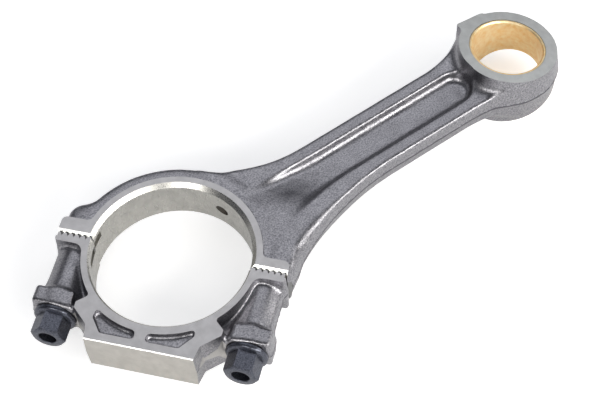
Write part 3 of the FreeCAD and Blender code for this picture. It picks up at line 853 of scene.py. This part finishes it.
def forged_steel():
    """Shot-blasted forging with a purple-grey scale and peened grain."""
    material = metal("forged_steel_skin", (0.32, 0.31, 0.35), 0.42)
    grain = add_noise(material, 0.9, 2.0)
    patches = add_noise(material, 9.0, 3.0)
    vary(material, "Base Color", grain, (0.185, 0.182, 0.20), (0.41, 0.405, 0.425))
    vary(material, "Roughness", patches, 0.28, 0.40)
    torn_flash_and_painted_shade(material)
    bump(material, grain, 0.14)
    bump(material, patches, 0.30)
    return material


def torn_flash_and_painted_shade(material):
    """Torn metal at the parting plane, darker than the skin, with painted shade for the groove beside the
    trimmed ridge; its edge wanders with a noise.
    """
    nodes, links = material.node_tree.nodes, material.node_tree.links
    shader = nodes["Principled BSDF"]
    place = nodes.new("ShaderNodeTexCoord")
    split = nodes.new("ShaderNodeSeparateXYZ")
    links.new(place.outputs["Object"], split.inputs["Vector"])
    height = math_node(material, "ABSOLUTE", split.outputs["Z"])
    widest = 1.6 * MM
    ragged = math_node(material, "MULTIPLY", add_noise(material, 3.0, 3.0), widest)
    band = math_node(material, "LESS_THAN", height, ragged)
    mix = nodes.new("ShaderNodeMix")
    mix.data_type = "RGBA"
    # partly painted shade: dark colour for the torn flash and for the shade in the groove at the ridge
    mix.inputs["B"].default_value = (0.13, 0.125, 0.14, 1.0)
    links.new(band, mix.inputs["Factor"])
    links.new(shader.inputs["Base Color"].links[0].from_socket, mix.inputs["A"])
    links.new(mix.outputs["Result"], shader.inputs["Base Color"])


def math_node(material, operation, first, second=None):
    """Output of one sum in the node tree; each operand is a number or a node's output."""
    node = material.node_tree.nodes.new("ShaderNodeMath")
    node.operation = operation
    for socket, value in zip(node.inputs, (first, second)):
        if isinstance(value, bpy.types.NodeSocket):
            material.node_tree.links.new(value, socket)
        elif value is not None:
            socket.default_value = value
    return node.outputs["Value"]


def machined_steel(name, colour, roughness, stretch):
    """Bright cut steel with fine tool marks along one direction."""
    material = metal(name, colour, roughness)
    marks = add_noise(material, 0.7, 2.0, stretch)
    stains = add_noise(material, 6.0, 4.0)
    darker = tuple(0.90 * c for c in colour)
    lighter = tuple(min(1.0, 1.05 * c) for c in colour)
    vary(material, "Base Color", stains, darker, lighter)
    vary(material, "Roughness", marks, roughness - 0.06, roughness + 0.08)
    bump(material, marks, 0.004)
    return material


def bronze():
    """Golden bearing bronze, mottled, with turning marks round the bore."""
    material = metal("bearing_bronze", (0.97, 0.74, 0.38), 0.32, 0.8)
    mottle = add_noise(material, 3.0, 5.0)
    marks = add_noise(material, 0.8, 2.0, (1.0, 1.0, 0.15))
    vary(material, "Base Color", mottle, (0.93, 0.66, 0.31), (1.0, 0.83, 0.53))
    vary(material, "Roughness", marks, 0.34, 0.42)
    bump(material, marks, 0.006)
    return material


def black_oxide():
    """Blackened bolt steel."""
    material = metal("black_oxide", (0.08, 0.084, 0.10), 0.30, 0.9)
    grain = add_noise(material, 0.8, 3.0)
    vary(material, "Base Color", grain, (0.055, 0.058, 0.072), (0.14, 0.148, 0.18))
    bump(material, grain, 0.015)
    return material


def make_materials():
    """All materials by the name of the surface that they cover."""
    even = (1.0, 1.0, 1.0)
    return {
        "forged": forged_steel(),
        "face": machined_steel("machined_face", (0.50, 0.49, 0.49), 0.34, even),
        "small_face": machined_steel("ground_face", (0.66, 0.67, 0.65), 0.40, even),
        "bore": machined_steel("bored_steel", (0.55, 0.54, 0.51), 0.30, (1.0, 1.0, 0.2)),
        # painted highlight: the bevels on the joint and the pad edges are cut steel, coloured near white
        # for the light they catch
        "joint": machined_steel("chamfer_painted_highlight", (0.80, 0.80, 0.78), 0.30, even),
        # painted shade: the serrations are cut steel, coloured dark grey for the shade in the gaps
        # between the teeth
        "teeth": machined_steel("serration_painted_shade", (0.22, 0.22, 0.22), 0.42, even),
        "pad": machined_steel("milled_pad", (0.54, 0.52, 0.485), 0.38, (0.4, 0.4, 2.0)),
        "milled": machined_steel("milled_side", (0.50, 0.485, 0.47), 0.42, (1.0, 1.0, 0.3)),
        # painted shade: the oil drilling and the joint reliefs are cut steel, coloured near black for the
        # shade inside them
        "drilling": machined_steel("hole_steel_painted_shade", (0.10, 0.09, 0.08), 0.5, even),
        "bronze": bronze(),
        "black": black_oxide(),
    }


# ---- studio ------------------------------------------------------------------------
CAMERA_TARGET = Vector((88.9, -6.3, 0.0)) * MM
CAMERA_DISTANCE = 1025.2 * MM
CAMERA_AZIMUTH = -119.86       # direction from the target to the camera
CAMERA_ELEVATION = 56.3
CAMERA_ROLL = -5.98
CAMERA_LENS = 99.8
FLOOR_Z = -22.9 * MM
FLOOR_GLOW = 0.55              # light table, as the camera sees it
FLOOR_SHINE = 0.22             # and as the steel reflects it
WARM_WHITE = (1.0, 0.985, 0.95)
COOL_WHITE = (0.96, 0.97, 1.0)


def spherical(azimuth, elevation, distance):
    """Vector from angles in degrees."""
    a, e = math.radians(azimuth), math.radians(elevation)
    return Vector((math.cos(e) * math.cos(a), math.cos(e) * math.sin(a), math.sin(e))) * distance


def make_camera():
    """Long lens, above and beyond the big end, a little rolled."""
    data = bpy.data.cameras.new("camera")
    data.lens = CAMERA_LENS
    data.sensor_width = 36.0
    data.clip_start = 0.01
    camera = bpy.data.objects.new("camera", data)
    bpy.context.scene.collection.objects.link(camera)
    away = spherical(CAMERA_AZIMUTH, CAMERA_ELEVATION, 1.0)
    aim = away.to_track_quat("Z", "Y").to_matrix()
    roll = Matrix.Rotation(math.radians(CAMERA_ROLL), 3, "Z")
    place = Matrix.Translation(CAMERA_TARGET + away * CAMERA_DISTANCE)
    camera.matrix_world = place @ (aim @ roll).to_4x4()
    bpy.context.scene.camera = camera


def make_floor():
    """White paper on a light table: it glows, more to the camera than to the steel."""
    bpy.ops.mesh.primitive_plane_add(size=8.0, location=(0, 0, FLOOR_Z))
    floor = bpy.context.object
    floor.name = "floor"
    paper = metal("floor_paper", (0.86, 0.86, 0.86), 0.7, 0.0)
    shader = paper.node_tree.nodes["Principled BSDF"]
    shader.inputs["Emission Color"].default_value = (1.0, 1.0, 1.0, 1.0)
    seen = paper.node_tree.nodes.new("ShaderNodeLightPath")
    glow = paper.node_tree.nodes.new("ShaderNodeMath")
    glow.operation = "MULTIPLY_ADD"
    glow.inputs[1].default_value = FLOOR_GLOW - FLOOR_SHINE
    glow.inputs[2].default_value = FLOOR_SHINE
    paper.node_tree.links.new(seen.outputs["Is Camera Ray"], glow.inputs[0])
    paper.node_tree.links.new(glow.outputs["Value"], shader.inputs["Emission Strength"])
    floor.data.materials.append(paper)


def area_light(name, azimuth, elevation, distance, size, radiance, colour=(1.0, 1.0, 1.0)):
    """Soft panel aimed at the rod; radiance is how bright the panel itself looks."""
    data = bpy.data.lights.new(name, "AREA")
    data.shape = "RECTANGLE"
    data.size, data.size_y = size
    data.energy = radiance * math.pi * size[0] * size[1]
    data.color = colour
    light = bpy.data.objects.new(name, data)
    bpy.context.scene.collection.objects.link(light)
    away = spherical(azimuth, elevation, 1.0)
    turn = away.to_track_quat("Z", "Y").to_matrix().to_4x4()
    light.matrix_world = Matrix.Translation(CAMERA_TARGET + away * distance) @ turn
    light.visible_camera = False


def make_lights():
    """Softboxes round the rod; the last is small and only catches the neck's lower edge."""
    area_light("front_softbox", -78.0, 27.0, 1.5, (2.0, 0.55), 7.0, WARM_WHITE)
    area_light("back_panel", 50.0, 58.0, 1.6, (1.8, 1.2), 1.0, COOL_WHITE)
    area_light("left_softbox", -150.0, 33.0, 1.6, (0.8, 0.6), 5.0, WARM_WHITE)
    area_light("right_softbox", 5.0, 25.0, 1.6, (0.6, 0.7), 2.0)
    area_light("far_left_panel", 118.0, 10.0, 1.6, (1.1, 0.6), 0.5)
    area_light("neck_softbox", -28.0, 24.0, 1.6, (0.5, 0.4), 4.0, WARM_WHITE)


def make_world():
    """Dim grey room for reflections, pale behind the rod."""
    world = bpy.data.worlds.new("studio")
    world.use_nodes = True
    nodes, links = world.node_tree.nodes, world.node_tree.links
    dim = nodes["Background"]
    dim.inputs["Color"].default_value = (0.85, 0.88, 1.0, 1.0)
    dim.inputs["Strength"].default_value = 0.12
    pale = nodes.new("ShaderNodeBackground")
    pale.inputs["Color"].default_value = (0.93, 0.93, 0.93, 1.0)
    seen = nodes.new("ShaderNodeLightPath")
    mix = nodes.new("ShaderNodeMixShader")
    links.new(seen.outputs["Is Camera Ray"], mix.inputs["Fac"])
    links.new(dim.outputs["Background"], mix.inputs[1])
    links.new(pale.outputs["Background"], mix.inputs[2])
    links.new(mix.outputs["Shader"], nodes["World Output"].inputs["Surface"])
    bpy.context.scene.world = world


# ---- build -----------------------------------------------------------------------
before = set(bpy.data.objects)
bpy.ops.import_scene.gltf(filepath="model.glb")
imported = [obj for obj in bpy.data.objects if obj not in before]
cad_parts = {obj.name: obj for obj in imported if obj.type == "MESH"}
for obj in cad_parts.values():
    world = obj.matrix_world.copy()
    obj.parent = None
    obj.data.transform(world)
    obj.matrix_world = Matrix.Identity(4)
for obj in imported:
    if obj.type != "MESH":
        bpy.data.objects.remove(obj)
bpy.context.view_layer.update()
paint = make_materials()
make_rod(paint)
make_cap(paint)
make_bolt(-1, "bolt_left", "cap_bolt_left", paint)
make_bolt(1, "bolt_right", "cap_bolt_right", paint)
paint_bush(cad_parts["small_end_bush"], paint["bronze"])
make_floor()
make_lights()
make_world()
make_camera()
bpy.context.scene.view_settings.view_transform = "Standard"
